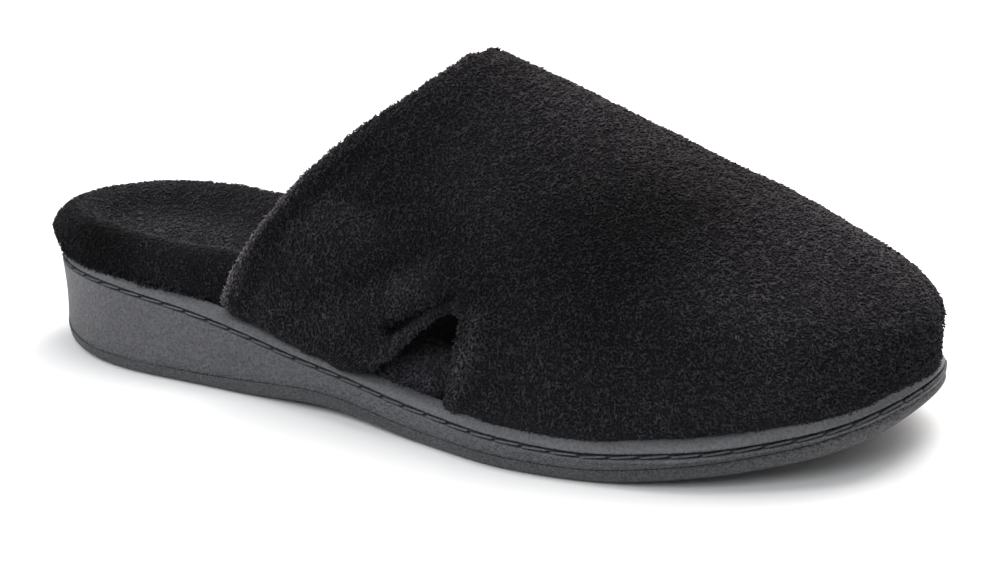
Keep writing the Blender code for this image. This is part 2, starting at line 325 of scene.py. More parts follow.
def soleCurve(column):
    keys = soleRows[:, 0]
    values = soleRows[:, column]
    steps = np.diff(keys)
    slopes = np.diff(values) / steps
    tangents = np.concatenate([slopes[:1], np.zeros(len(keys) - 2), slopes[-1:]])
    for i in range(1, len(keys) - 1):
        if slopes[i - 1] * slopes[i] > 0:
            before = 2 * steps[i] + steps[i - 1]
            after = steps[i] + 2 * steps[i - 1]
            tangents[i] = (before + after) / (before / slopes[i - 1] + after / slopes[i])

    def at(key):
        key = np.clip(key, keys[0], keys[-1])
        i = np.clip(np.searchsorted(keys, key, side="right") - 1, 0, len(steps) - 1)
        t = (key - keys[i]) / steps[i]
        rise = values[i + 1] - values[i]
        start = tangents[i] * steps[i]
        end = tangents[i + 1] * steps[i]
        return values[i] + start * t + (3 * rise - 2 * start - end) * t**2 + (start + end - 2 * rise) * t**3

    return at


soleMiddle = soleCurve(1)
soleHalf = soleCurve(2)
stitchHeight = soleCurve(3)


def soleReach(along):
    heel = np.clip((soleShape["heelRound"] - along) / soleShape["heelRound"], 0.0, 1.0)
    toe = np.clip((along - soleShape["long"] + soleShape["toeRound"]) / soleShape["toeRound"], 0.0, 1.0)
    return soleHalf(along) * np.sqrt(1 - heel**2) * np.sqrt(1 - toe**2)


def soleEdge(angle, inset):
    # angle 0 at the heel, half a turn at the toe, outer side first
    def at(turn):
        along = soleShape["long"] / 2 * (1 - np.cos(turn))
        side = np.where(np.sin(turn) >= 0, -1.0, 1.0)
        return np.column_stack([along, soleMiddle(along) + side * soleReach(along)])

    ahead = unit(at(angle + 0.002) - at(angle - 0.002))
    inward = np.column_stack([-ahead[:, 1], ahead[:, 0]])
    plan = at(angle) + inward * inset
    return plan + np.array(soleShape["shift"]), stitchHeight(plan[:, 0])


# how far the sole's underside and its lines rise toward the toe
toeSpring = dict(
    along=(60, 71, 78, 85, 92, 98, 104, 108, 112, 117, 121, 124, 128, 132),
    under=(0, 0.6, 1.05, 1.4, 1.3, 1.1, 0.85, 0.6, 0.0, -0.45, -1.0, -1.3, -0.7, -0.2),
    lines=(0, 0.8, 1.15, 1.3, 1.35, 1.3, 1.15, 1.0, 0.7, 0.3, 0.0, 0.0, 0.0, 0.0),
)


def springAt(along, row):
    return np.interp(along, toeSpring["along"], toeSpring[row])


def aboveLip(points):
    # height over the top of the sole's strip
    return points[:, 2] - stitchHeight(points[:, 0] - soleShape["shift"][0]) - soleShape["strip"]


# node groups shared by the materials

def groupShell(name, inputs, outputs):
    group = bpy.data.node_groups.new(name, "ShaderNodeTree")
    for label, value in inputs:
        socket = group.interface.new_socket(label, in_out="INPUT", socket_type="NodeSocketFloat")
        socket.default_value = value
    for label, kind in outputs:
        group.interface.new_socket(label, in_out="OUTPUT", socket_type=kind)
    nodes = group.nodes
    return group, nodes, group.links, nodes.new("NodeGroupInput"), nodes.new("NodeGroupOutput")


def readAttribute(nodes, name):
    attribute = nodes.new("ShaderNodeAttribute")
    attribute.attribute_name = name
    return attribute


def multiplyNode(nodes):
    multiply = nodes.new("ShaderNodeMath")
    multiply.operation = "MULTIPLY"
    return multiply


def rangeNode(nodes, fromEnds, toEnds):
    mapped = nodes.new("ShaderNodeMapRange")
    for label, value in zip(("From Min", "From Max", "To Min", "To Max"), (*fromEnds, *toEnds)):
        mapped.inputs[label].default_value = value
    return mapped


def mixColours(nodes, first, second):
    mix = nodes.new("ShaderNodeMix")
    mix.data_type = "RGBA"
    mix.inputs[6].default_value = (*first, 1.0)
    mix.inputs[7].default_value = (*second, 1.0)
    return mix


# soft patches where the pile lies another way
napGroup, nodes, links, groupIn, groupOut = groupShell(
    "napPatches", [("Scale", 45.0), ("Low", 0.8), ("High", 1.25)], [("Tone", "NodeSocketFloat")]
)
coords = nodes.new("ShaderNodeTexCoord")
patch = nodes.new("ShaderNodeTexNoise")
patch.inputs["Detail"].default_value = 3.0
patchRange = rangeNode(nodes, (0.3, 0.7), (0.0, 1.0))
links.new(coords.outputs["Object"], patch.inputs["Vector"])
links.new(groupIn.outputs["Scale"], patch.inputs["Scale"])
links.new(patch.outputs["Fac"], patchRange.inputs["Value"])
links.new(groupIn.outputs["Low"], patchRange.inputs["To Min"])
links.new(groupIn.outputs["High"], patchRange.inputs["To Max"])
links.new(patchRange.outputs["Result"], groupOut.inputs["Tone"])

# leathery grain of the moulded sole
grainGroup, nodes, links, groupIn, groupOut = groupShell(
    "mouldGrain",
    [("Cell Scale", 1000.0), ("Height", 1.0)],
    [("Height", "NodeSocketFloat"), ("Tone", "NodeSocketFloat")],
)
coords = nodes.new("ShaderNodeTexCoord")
cells = nodes.new("ShaderNodeTexVoronoi")
cells.feature = "SMOOTH_F1"
speck = nodes.new("ShaderNodeTexNoise")
speck.inputs["Detail"].default_value = 2.0
cloud = nodes.new("ShaderNodeTexNoise")
cloud.inputs["Scale"].default_value = 60.0
cloud.inputs["Detail"].default_value = 3.0
twice = multiplyNode(nodes)
twice.inputs[1].default_value = 2.0
blend = nodes.new("ShaderNodeMath")
blend.operation = "ADD"
scaleHeight = multiplyNode(nodes)
toneRange = rangeNode(nodes, (0.3, 0.7), (0.92, 1.08))
pitRange = rangeNode(nodes, (0.55, 1.15), (0.7, 1.3))
bothTones = multiplyNode(nodes)
for texture in (cells, speck, cloud):
    links.new(coords.outputs["Object"], texture.inputs["Vector"])
links.new(groupIn.outputs["Cell Scale"], cells.inputs["Scale"])
links.new(groupIn.outputs["Cell Scale"], twice.inputs[0])
links.new(twice.outputs["Value"], speck.inputs["Scale"])
links.new(cells.outputs["Distance"], blend.inputs[0])
links.new(speck.outputs["Fac"], blend.inputs[1])
links.new(blend.outputs["Value"], scaleHeight.inputs[0])
links.new(groupIn.outputs["Height"], scaleHeight.inputs[1])
links.new(scaleHeight.outputs["Value"], groupOut.inputs["Height"])
links.new(cloud.outputs["Fac"], toneRange.inputs["Value"])
links.new(blend.outputs["Value"], pitRange.inputs["Value"])
links.new(toneRange.outputs["Result"], bothTones.inputs[0])
links.new(pitRange.outputs["Result"], bothTones.inputs[1])
links.new(bothTones.outputs["Value"], groupOut.inputs["Tone"])


def addGroup(nodes, group, **values):
    node = nodes.new("ShaderNodeGroup")
    node.node_tree = group
    for label, value in values.items():
        node.inputs[label.replace("_", " ")].default_value = value
    return node


def addPatches(nodes, cloth):
    ends = dict(Low=cloth["patchLow"], High=cloth["patchHigh"])
    return addGroup(nodes, napGroup, Scale=cloth["patchScale"], **ends)


def setCloth(shader, cloth, sheen):
    shader.inputs["Roughness"].default_value = cloth["roughness"]
    shader.inputs["Specular IOR Level"].default_value = cloth["specular"]
    shader.inputs["Sheen Weight"].default_value = sheen
    shader.inputs["Sheen Roughness"].default_value = cloth["sheenRoughness"]
    shader.inputs["Sheen Tint"].default_value = (*cloth["sheenTint"], 1.0)


def scaleColour(nodes, links, colourSocket, valueSocket):
    # colour times a value
    scale = nodes.new("ShaderNodeVectorMath")
    scale.operation = "SCALE"
    links.new(colourSocket, scale.inputs[0])
    links.new(valueSocket, scale.inputs["Scale"])
    return scale.outputs["Vector"]


def pileMaterial(name, cloth):
    material, nodes, links, shader = newMaterial(name)
    along = readAttribute(nodes, "tip")
    tuft = readAttribute(nodes, "tuft")
    paintedSheen = readAttribute(nodes, "paintedSheen")
    # tufts that face up take the warm tip colour, a painted sheen
    tips = mixColours(nodes, cloth["tipCool"], cloth["tipSheen"])
    height = rangeNode(nodes, (0.15, 0.95), (0.0, 1.0))
    # each tuft darkens toward its root: painted shade down in the pile
    ramp = mixColours(nodes, cloth["root"], cloth["tipCool"])
    patches = addPatches(nodes, cloth)
    tone = multiplyNode(nodes)
    links.new(paintedSheen.outputs["Fac"], tips.inputs[0])
    links.new(along.outputs["Fac"], height.inputs["Value"])
    links.new(height.outputs["Result"], ramp.inputs[0])
    links.new(tips.outputs[2], ramp.inputs[7])
    links.new(tuft.outputs["Fac"], tone.inputs[0])
    links.new(patches.outputs["Tone"], tone.inputs[1])
    colour = scaleColour(nodes, links, ramp.outputs[2], tone.outputs["Value"])
    links.new(colour, shader.inputs["Base Color"])
    # tufts are shaded partly like the cloth they stand on
    facing = readAttribute(nodes, "facing")
    turned = nodes.new("ShaderNodeVectorTransform")
    turned.vector_type = "NORMAL"
    turned.convert_from = "OBJECT"
    turned.convert_to = "WORLD"
    surface = nodes.new("ShaderNodeNewGeometry")
    soften = nodes.new("ShaderNodeMix")
    soften.data_type = "VECTOR"
    soften.inputs[0].default_value = cloth["soften"]
    normal = nodes.new("ShaderNodeVectorMath")
    normal.operation = "NORMALIZE"
    links.new(facing.outputs["Vector"], turned.inputs["Vector"])
    links.new(surface.outputs["Normal"], soften.inputs[4])
    links.new(turned.outputs["Vector"], soften.inputs[5])
    links.new(soften.outputs[1], normal.inputs[0])
    links.new(normal.outputs["Vector"], shader.inputs["Normal"])
    setCloth(shader, cloth, cloth["sheen"])
    return material


def backingMaterial(name, cloth):
    # the knit that the pile stands on, coloured darker than the tufts: painted shade down under the pile
    material, nodes, links, shader = newMaterial(name)
    patches = addPatches(nodes, cloth)
    base = nodes.new("ShaderNodeRGB")
    base.outputs[0].default_value = (*cloth["ground"], 1.0)
    coords = nodes.new("ShaderNodeTexCoord")
    loops = nodes.new("ShaderNodeTexNoise")
    loops.inputs["Scale"].default_value = 900.0
    loops.inputs["Detail"].default_value = 2.0
    bump = nodes.new("ShaderNodeBump")
    bump.inputs["Strength"].default_value = 0.8
    bump.inputs["Distance"].default_value = 0.0006
    links.new(coords.outputs["Object"], loops.inputs["Vector"])
    links.new(loops.outputs["Fac"], bump.inputs["Height"])
    links.new(bump.outputs["Normal"], shader.inputs["Normal"])
    tuft = readAttribute(nodes, "tuft")
    tone = multiplyNode(nodes)
    links.new(tuft.outputs["Fac"], tone.inputs[0])
    links.new(patches.outputs["Tone"], tone.inputs[1])
    colour = scaleColour(nodes, links, base.outputs["Color"], tone.outputs["Value"])
    links.new(colour, shader.inputs["Base Color"])
    setCloth(shader, cloth, cloth["sheen"] * 0.5)
    return material


# ground and root darker than the tips are painted shade down in the pile; the warm tip colour is a painted
# sheen for tufts that face up
plushCloth = dict(
    soften=0.3,
    ground=(0.0096, 0.0094, 0.0106),
    root=(0.0126, 0.0124, 0.0141),
    tipCool=(0.0224, 0.0218, 0.0256),
    tipSheen=(0.0300, 0.0266, 0.0286),
    roughness=0.85,
    specular=0.05,
    sheen=0.05,
    sheenRoughness=0.4,
    sheenTint=(1.0, 0.90, 0.92),
    patchScale=38.0,
    patchLow=0.85,
    patchHigh=1.2,
)
terryCloth = dict(
    plushCloth, soften=0.65, ground=(0.0104, 0.0103, 0.0115), root=(0.0148, 0.0144, 0.0164),
    tipCool=(0.0244, 0.0238, 0.0287), tipSheen=(0.0274, 0.0259, 0.0280), patchScale=55.0,
)
plushPile = pileMaterial("plushPile", plushCloth)
plushBacking = backingMaterial("plushBacking", plushCloth)
terryPile = pileMaterial("terryPile", terryCloth)
terryBacking = backingMaterial("terryBacking", terryCloth)
print("cloth materials made")


# upper: rounded copy of the solid with the listed folds placed on it

upperSize = dict(voxel=1.3, rounds=2, relax=9)
flapDrop = dict(
    along=(-55, -35, -25, -12, -5, 3, 10, 16),
    drop=(1.8, 2.2, 2.8, 5.7, 6.3, 4.8, 2.2, 0.4),
    edge=[
        (22.6, -43.0, 40.6), (15.7, -42.3, 36.7), (8.6, -41.1, 32.6), (0.7, -39.4, 28.1),
        (-7.2, -37.6, 23.6), (-16.3, -35.6, 21.8), (-25.8, -34.3, 21.1), (-33.8, -33.4, 21.6),
        (-44.0, -32.6, 23.5), (-55.0, -31.6, 25.5),
    ],
    reach=8.0,
    outward=0.3,
)
collarCorner = dict(spot=(-55.0, -31.0, 28.0), reach=11.0, back=1.6)
flapEdge = [
    (edge[0], edge[1] - flapDrop["outward"] * drop, edge[2] - drop)
    for edge in flapDrop["edge"]
    for drop in [float(np.interp(edge[0], flapDrop["along"], flapDrop["drop"]))]
]
collarEdge = [
    (-55.5, -31.2, 29.0), (-49.0, -30.8, 42.5), (-40.5, -29.8, 54.4), (-29.5, -28.0, 64.8),
    (-16.0, -21.5, 78.0), (-2.0, -13.4, 87.6), (6.5, -3.0, 94.0),
]
notchEdge = [(21.5, -42.0, 13.0), (24.5, -44.0, 23.0), (28.0, -45.2, 31.0), (29.0, -44.6, 38.0)]
# the folds' tones are painted light and shade: painted shade in the crease and the dips, painted highlights
# on the roll and the lips
upperFolds = {
    "roll over the tab": dict(width=4.2, rise=1.3, tone=0.22, line=[
        (-26, -34.4, 24.5), (-17, -35.3, 28.0), (-8.0, -37.0, 32.0), (2.4, -39.0, 37.0),
        (13.0, -40.4, 42.4),
    ]),
    "dip above the roll": dict(width=4.2, rise=-1.4, tone=-0.22, line=[
        (-23, -34.2, 35.5), (-9.4, -35.6, 41.0), (3.6, -36.9, 47.4), (11.0, -37.6, 51.0),
    ]),
    "crease over the flap": dict(width=2.0, rise=-2.3, tone=-0.9, line=[
        (21.0, -42.9, 41.3), (13.2, -41.9, 37.2), (8.0, -41.2, 33.6), (2.5, -40.2, 29.4),
    ]),
    "dip behind the hem": dict(width=3.2, rise=-1.1, tone=-0.12, line=[
        (-45, -32.5, 28.0), (-40.5, -31.9, 42.0), (-33.5, -31.0, 52.0), (-25, -29.6, 60.5),
        (-12, -26.5, 71.0),
    ]),
    "notch lip": dict(width=2.6, rise=1.1, tone=0.9, line=notchEdge),
    "flap lip": dict(width=2.2, rise=0.9, tone=0.6, line=flapEdge[:6]),
}
upperSwells = {
    "ridge dip": dict(spot=(76.0, 6.5, 67.5), reach=20.0, rise=-1.4),
    "toe cap": dict(spot=(118.0, 20.0, 45.0), reach=16.0, rise=1.0),
    "toe crown": dict(spot=(108.0, 4.0, 52.0), reach=13.0, rise=1.2),
    "toe side": dict(spot=(127.0, 9.0, 39.0), reach=12.0, rise=0.6),
    "toe tip": dict(spot=(131.0, 2.0, 31.0), reach=11.0, rise=0.6),
    "collar peak": dict(spot=(7.0, -2.0, 93.0), reach=9.0, rise=0.9),
    "blunt corner": dict(spot=(10.5, 5.5, 95.0), reach=4.5, rise=-1.2),
}
tabSwell = dict(middle=(-17.5, 43.5), wide=17.0, tall=15.0, rise=1.9, rimDip=0.8)
upperLumps = dict(broad=0.4, fine=0.2)
lowerEdge = dict(reach=7.0, out=1.4, toeOut=2.4, ballOut=0.9, toeDrop=0.9, ballDrop=1.0)
hemRise = 1.1
# painted highlights on the ridge, the toe top and the tab crown, where light from above falls; the other
# spots make the cloth lighter or darker in patches
upperTones = {
    "dark side": dict(spot=(60.0, -32.0, 55.0), reach=24.0, tone=-0.5),
    "nap change": dict(spot=(66.0, -12.0, 68.0), reach=8.0, tone=-0.18),
    "collar side": dict(spot=(-2.0, -26.0, 66.0), reach=18.0, tone=-0.18),
    "low side": dict(spot=(48.0, -46.0, 16.0), reach=30.0, tone=0.42),
    "low toe": dict(spot=(102.0, -32.0, 24.0), reach=28.0, tone=0.42),
    "low heel": dict(spot=(-22.0, -34.0, 34.0), reach=24.0, tone=0.3),
    "toe side": dict(spot=(98.0, -20.0, 46.0), reach=18.0, tone=0.28),
    "toe top": dict(spot=(106.0, 10.0, 53.0), reach=20.0, tone=0.8),
    "ridge": dict(spot=(40.0, 8.0, 81.0), reach=22.0, tone=0.65),
    "tab crown": dict(spot=(-24.0, -31.0, 50.0), reach=10.0, tone=0.24),
    "flap corner": dict(spot=(-43.0, -32.5, 26.5), reach=4.5, tone=0.5),
}


def hemShare(points, normals):
    # the rolled edge of the collar looks back toward the heel
    back = smoothStep(0.3, 0.65, -normals[:, 0]) * smoothStep(-0.4, -0.1, normals[:, 2])
    return back * (1 - smoothStep(16.0, 19.0, points[:, 0]))


def layLines(mesh, lines):
    # bring the listed lines onto the cloth
    co = readVerts(mesh)[0]
    for fold in lines.values():
        spots = [np.array(point, float) for point in fold["line"]]
        fold["line"] = [co[np.argmin(np.sum((co - spot) ** 2, axis=1))] for spot in spots]


def hangFlap(mesh):
    # the flap hangs down to the sole, and the collar's corner reaches back
    co = readVerts(mesh)[0]
    near = lineShare(co, flapDrop["edge"], flapDrop["reach"])
    drop = near * np.interp(co[:, 0], flapDrop["along"], flapDrop["drop"])
    corner = spotShare(co, collarCorner)
    co = co + drop[:, None] * np.array([0.0, -flapDrop["outward"], -1.0])
    co[:, 0] -= collarCorner["back"] * corner
    writeVerts(mesh, co)


def foldUpper(mesh):
    co, normals = readVerts(mesh)
    outer = smoothStep(0.1, 0.4, outwardShare(co, normals))
    move = np.zeros(len(co))
    for fold in upperFolds.values():
        move += fold["rise"] * lineShare(co, fold["line"], fold["width"])
    for swell in upperSwells.values():
        move += swell["rise"] * spotShare(co, swell)
    middle = tabSwell["middle"]
    reach = np.hypot((co[:, 0] - middle[0]) / tabSwell["wide"], (co[:, 2] - middle[1]) / tabSwell["tall"])
    outerSide = smoothStep(-12.0, -22.0, co[:, 1])
    rim = np.exp(-(((reach - 1.12) / 0.18) ** 2)) * smoothStep(36.0, 46.0, co[:, 2])
    move += tabSwell["rise"] * (1 - smoothStep(0.5, 1.05, reach)) * outerSide
    move -= tabSwell["rimDip"] * rim * outerSide
    move += upperLumps["broad"] * lumpy(co, 13.0, 3) + upperLumps["fine"] * lumpy(co, 5.0, 5)
    lip = 1 - smoothStep(0.0, lowerEdge["reach"], aboveLip(co))
    toe = smoothStep(90.0, 122.0, co[:, 0])
    ball = smoothStep(10.0, 35.0, co[:, 0]) * (1 - smoothStep(58.0, 78.0, co[:, 0]))
    ball = ball * smoothStep(0.0, -20.0, co[:, 1])
    move += (lowerEdge["out"] + lowerEdge["toeOut"] * toe + lowerEdge["ballOut"] * ball) * lip
    move = move * outer + hemRise * hemShare(co, normals)
    co = co + normals * move[:, None]
    drop = lowerEdge["toeDrop"] * toe + lowerEdge["ballDrop"] * ball
    co[:, 2] += (springAt(co[:, 0], "lines") - drop) * lip * outer
    writeVerts(mesh, co)


plushUpper = softCopy("upper", "plushUpper", upperSize)
hangFlap(plushUpper.data)
layLines(plushUpper.data, upperFolds)
foldUpper(plushUpper.data)
layLines(plushUpper.data, upperFolds)
plushUpper.data.materials.append(plushBacking)
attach(plushUpper, "root")
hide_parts("upper")
print("upper", len(plushUpper.data.polygons), "faces")


def outerCover(points, normals):
    crease = lineShare(points, upperFolds["crease over the flap"]["line"], 1.2)
    shown = np.maximum(outwardShare(points, normals), hemShare(points, normals))
    return smoothStep(-0.15, 0.2, shown) * (1 - 0.97 * crease)


def liningCover(points, normals):
    back = 1 - smoothStep(15.0, 45.0, points[:, 0])
    return (1 - outerCover(points, normals)) * back * (points[:, 2] > 24.0)


def upperNap(points, normals):
    # along the foot to the toe and down, and over the strip at the lower edge
    low = 1 - smoothStep(1.0, 4.0, aboveLip(points))
    flap = lineShare(points, flapEdge, 4.0)
    top = 1 + smoothStep(0.35, 0.8, normals[:, 2])
    nap = np.tile([0.75, 0.0, -0.35], (len(points), 1)) * top[:, None]
    return nap + low[:, None] * np.array([0.9, 0.0, 0.0]) + flap[:, None] * np.array([-0.2, 0.0, -1.0])


def upperGrow(points, normals):
    notch = lineShare(points, notchEdge, 3.0)
    return 1 - 0.4 * (1 - smoothStep(0.5, 3.5, aboveLip(points))) + 0.25 * notch


def upperTone(points, normals):
    low = 1 - smoothStep(56.0, 74.0, points[:, 2])
    # the collar's hem is painted paler: partly the cut edge's own paler colour, partly a painted highlight
    # of light on the edge's fuzz
    hem = smoothStep(-0.1, 0.35, -normals[:, 0]) * lineShare(points, collarEdge, 4.6)
    # faces that look up are painted lighter: a painted highlight of light from above
    tone = 0.92 + 0.16 * smoothStep(0.2, 0.8, normals[:, 2]) + (1.1 + 2.4 * low) * hem
    for fold in upperFolds.values():
        tone += fold["tone"] * lineShare(points, fold["line"], fold["width"])
    for spot in upperTones.values():
        tone += spot["tone"] * spotShare(points, spot)
    return np.maximum(tone, 0.2)


upperPile = dict(
    perSquareMm=3.2, length=1.5, width=0.56, flat=0.85, sink=0.25, lean=0.7, curl=0.8,
    stray=0.6, clump=2.4, clumpLean=1.1, heap=1.5, nap=upperNap, grow=upperGrow, tone=upperTone,
)
innerStart = 8


def outerPart(points, low, high):
    return (points[:, 1] < innerStart) & (points[:, 0] >= low) & (points[:, 0] < high)


def innerCover(points, normals):
    return outerCover(points, normals) * (points[:, 1] >= innerStart)


pileParts = [
    dict(upperPile, name="pileHeelOuter", cover=lambda p, n: outerCover(p, n) * outerPart(p, -999, 22)),
    dict(upperPile, name="pileMidOuter", cover=lambda p, n: outerCover(p, n) * outerPart(p, 22, 76)),
    dict(upperPile, name="pileToeOuter", cover=lambda p, n: outerCover(p, n) * outerPart(p, 76, 999)),
    dict(upperPile, name="pileInner", perSquareMm=1.1, width=0.86, cover=innerCover),
    dict(upperPile, name="pileLining", perSquareMm=1.0, length=1.2, cover=liningCover),
]
setAttribute(plushUpper.data, "tuft", upperTone(*readVerts(plushUpper.data)))
for index, part in enumerate(pileParts):
    pile = growPile(part["name"], plushUpper, part, 11 + index)
    pile.data.materials.append(plushPile)
    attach(pile, "root")


# adjuster tab under the flap

tabSize = dict(voxel=0.9, rounds=2, relax=5, footOut=1.6)
adjusterTab = softCopy("side_tab", "adjusterTab", tabSize)
co = readVerts(adjusterTab.data)[0]
co[:, 1] -= tabSize["footOut"] * (1 - smoothStep(0.0, 8.0, aboveLip(co)))
writeVerts(adjusterTab.data, co)
adjusterTab.data.materials.append(plushBacking)
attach(adjusterTab, "root")
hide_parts("side_tab")
# the tab's pile is painted dark higher up: a painted shade under the flap
tabPile = dict(
    upperPile,
    length=1.3,
    perSquareMm=1.9,
    cover=lambda p, n: 1.8 * (n[:, 1] < 0.3) * (p[:, 2] < 42.0),
    tone=lambda p, n: 1.2 - 1.0 * smoothStep(18.0, 26.0, p[:, 2]),
)
setAttribute(adjusterTab.data, "tuft", tabPile["tone"](*readVerts(adjusterTab.data)))
pile = growPile("pileTab", adjusterTab, tabPile, 21)
pile.data.materials.append(plushPile)
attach(pile, "root")


# footbed: foam with a deep heel cup under terry

footbedSize = dict(voxel=1.5, rounds=2, relax=7)
footbedForm = dict(
    broadLumps=0.4, fineLumps=0.15, heelIn=0.6, edgeOut=0.9, heelEdgeDrop=1.0, notchOut=4.4,
    farRim=dict(spot=(-62.0, 28.0, 40.0), reach=16.0, rise=1.4),
)
terryFootbed = softCopy("footbed", "terryFootbed", footbedSize)
co, normals = readVerts(terryFootbed.data)
heelEnd = smoothStep(-112.0, -126.0, co[:, 0])
puff = footbedForm["broadLumps"] * lumpy(co, 12.0, 7) + footbedForm["fineLumps"] * lumpy(co, 4.5, 8)
puff -= footbedForm["heelIn"] * heelEnd
puff += footbedForm["edgeOut"] * (1 - smoothStep(0.0, 6.0, aboveLip(co))) * (1 - 0.7 * heelEnd)
co = co + normals * puff[:, None]
heelEdge = (1 - smoothStep(0.0, 5.0, aboveLip(co))) * smoothStep(-40.0, -70.0, co[:, 0])
co[:, 2] -= footbedForm["heelEdgeDrop"] * heelEdge * (normals[:, 2] < 0.5)
co[:, 2] += footbedForm["farRim"]["rise"] * spotShare(co, footbedForm["farRim"])
# in the notch the side of the footbed comes out to the strip
bulge = smoothStep(-24.0, -10.0, co[:, 0]) * (1 - smoothStep(11.0, 19.0, co[:, 0])) * (co[:, 1] < -15)
bulge = bulge * smoothStep(-0.2, 0.6, -normals[:, 1]) * (1 - smoothStep(3.0, 12.0, aboveLip(co)))
co[:, 1] -= footbedForm["notchOut"] * bulge
writeVerts(terryFootbed.data, co)
terryFootbed.data.materials.append(terryBacking)
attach(terryFootbed, "root")
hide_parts("footbed")


def footbedCover(points, normals):
    shown = smoothStep(-0.98, -0.7, normals[:, 2]) * smoothStep(-1.5, 0.0, aboveLip(points))
    notch = smoothStep(-14.0, -6.0, points[:, 0]) * (points[:, 1] < -20) * (points[:, 0] < 26)
    return shown * (1 - 0.93 * smoothStep(20.0, 55.0, points[:, 0])) * (1 + 1.6 * notch)


def footbedNap(points, normals):
    low = 1 - smoothStep(1.0, 5.0, aboveLip(points))
    return np.tile([0.4, 0.0, -0.2], (len(points), 1)) + low[:, None] * np.array([0.0, 0.0, -1.5])


footbedCrest = dict(spot=(-100.0, -23.0, 39.5), reach=20.0, tone=0.65)


def footbedTone(points, normals):
    # the rim's outer slope and its crest are darker and the notch's foot lighter; inside the upper and high
    # in the notch the terry is painted dark, a painted shadow under the upper
    away = unit((points - np.array([-80.0, 1.0, 0.0])) * np.array([1.0, 1.0, 0.0]))
    tone = 1.4 - 0.4 * smoothStep(-0.1, 0.4, np.sum(away * normals, axis=1))
    inside = smoothStep(-25.0, -5.0, points[:, 0]) * smoothStep(-30.0, -26.0, points[:, 1])
    notch = smoothStep(-14.0, -6.0, points[:, 0]) * (points[:, 1] < -20)
    crest = footbedCrest["tone"] * spotShare(points, footbedCrest)
    deep = np.maximum(inside, notch * smoothStep(20.0, 29.0, points[:, 2]))
    return np.maximum(tone - crest, 1.5 * notch) * (1 - 0.85 * deep)


footbedPile = dict(
    perSquareMm=2.0, length=1.4, width=0.56, flat=0.8, sink=0.25, lean=0.7, curl=0.8,
    stray=0.8, clump=2.0, clumpLean=1.2, heap=1.8, cover=footbedCover, nap=footbedNap,
    grow=lambda p, n: 1 + 0.5 * (1 - smoothStep(0.5, 4.0, aboveLip(p))),
    tone=footbedTone,
)
setAttribute(terryFootbed.data, "tuft", footbedTone(*readVerts(terryFootbed.data)))
pile = growPile("pileFootbed", terryFootbed, footbedPile, 31)
pile.data.materials.append(terryPile)
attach(pile, "root")


# sole: wedge with its stitch groove and sloping strip, and the outsole

wedgeFoam = dict(
    colour=(0.1065, 0.108, 0.118), stripColour=(0.070, 0.072, 0.078),
    roughness=0.5, stripRoughness=0.45, grain=0.9, stripGrain=0.1,
)
# on the outsole the strip colour is the toe's, painted lighter: a painted highlight on the toe
treadRubber = dict(
    colour=(0.067, 0.069, 0.075), stripColour=(0.112, 0.114, 0.120),
    roughness=0.6, stripRoughness=0.6, grain=0.8, stripGrain=1.0,
)
threadGrey = dict(
    colour=wedgeFoam["colour"], stripColour=wedgeFoam["colour"],
    roughness=0.6, stripRoughness=0.6, grain=0.4, stripGrain=0.4,
)


def soleMaterial(name, look):
    # the attribute strip goes from the plain look to the strip's, or on the outsole to the toe's lighter
    # colour, a painted highlight on the toe
    material, nodes, links, shader = newMaterial(name)
    strip = readAttribute(nodes, "strip")
    grain = addGroup(nodes, grainGroup, Cell_Scale=1250.0, Height=1.0)
    colours = mixColours(nodes, look["colour"], look["stripColour"])
    rough = rangeNode(nodes, (0.0, 1.0), (look["roughness"], look["stripRoughness"]))
    strength = rangeNode(nodes, (0.0, 1.0), (look["grain"], look["stripGrain"]))
    bump = nodes.new("ShaderNodeBump")
    bump.inputs["Distance"].default_value = 0.0018
    links.new(strip.outputs["Fac"], colours.inputs[0])
    links.new(strip.outputs["Fac"], rough.inputs["Value"])
    links.new(strip.outputs["Fac"], strength.inputs["Value"])
    links.new(strength.outputs["Result"], bump.inputs["Strength"])
    links.new(grain.outputs["Height"], bump.inputs["Height"])
    links.new(bump.outputs["Normal"], shader.inputs["Normal"])
    links.new(rough.outputs["Result"], shader.inputs["Roughness"])
    # the attribute groove darkens the colour: painted shade in the stitch groove, above the glue joint and
    # on the thread
    groove = readAttribute(nodes, "groove")
    shade = rangeNode(nodes, (0.0, 1.0), (1.0, 0.42))
    both = multiplyNode(nodes)
    links.new(groove.outputs["Fac"], shade.inputs["Value"])
    links.new(shade.outputs["Result"], both.inputs[0])
    links.new(grain.outputs["Tone"], both.inputs[1])
    colour = scaleColour(nodes, links, colours.outputs[2], both.outputs["Value"])
    links.new(colour, shader.inputs["Base Color"])
    shader.inputs["Specular IOR Level"].default_value = 0.4
    return material


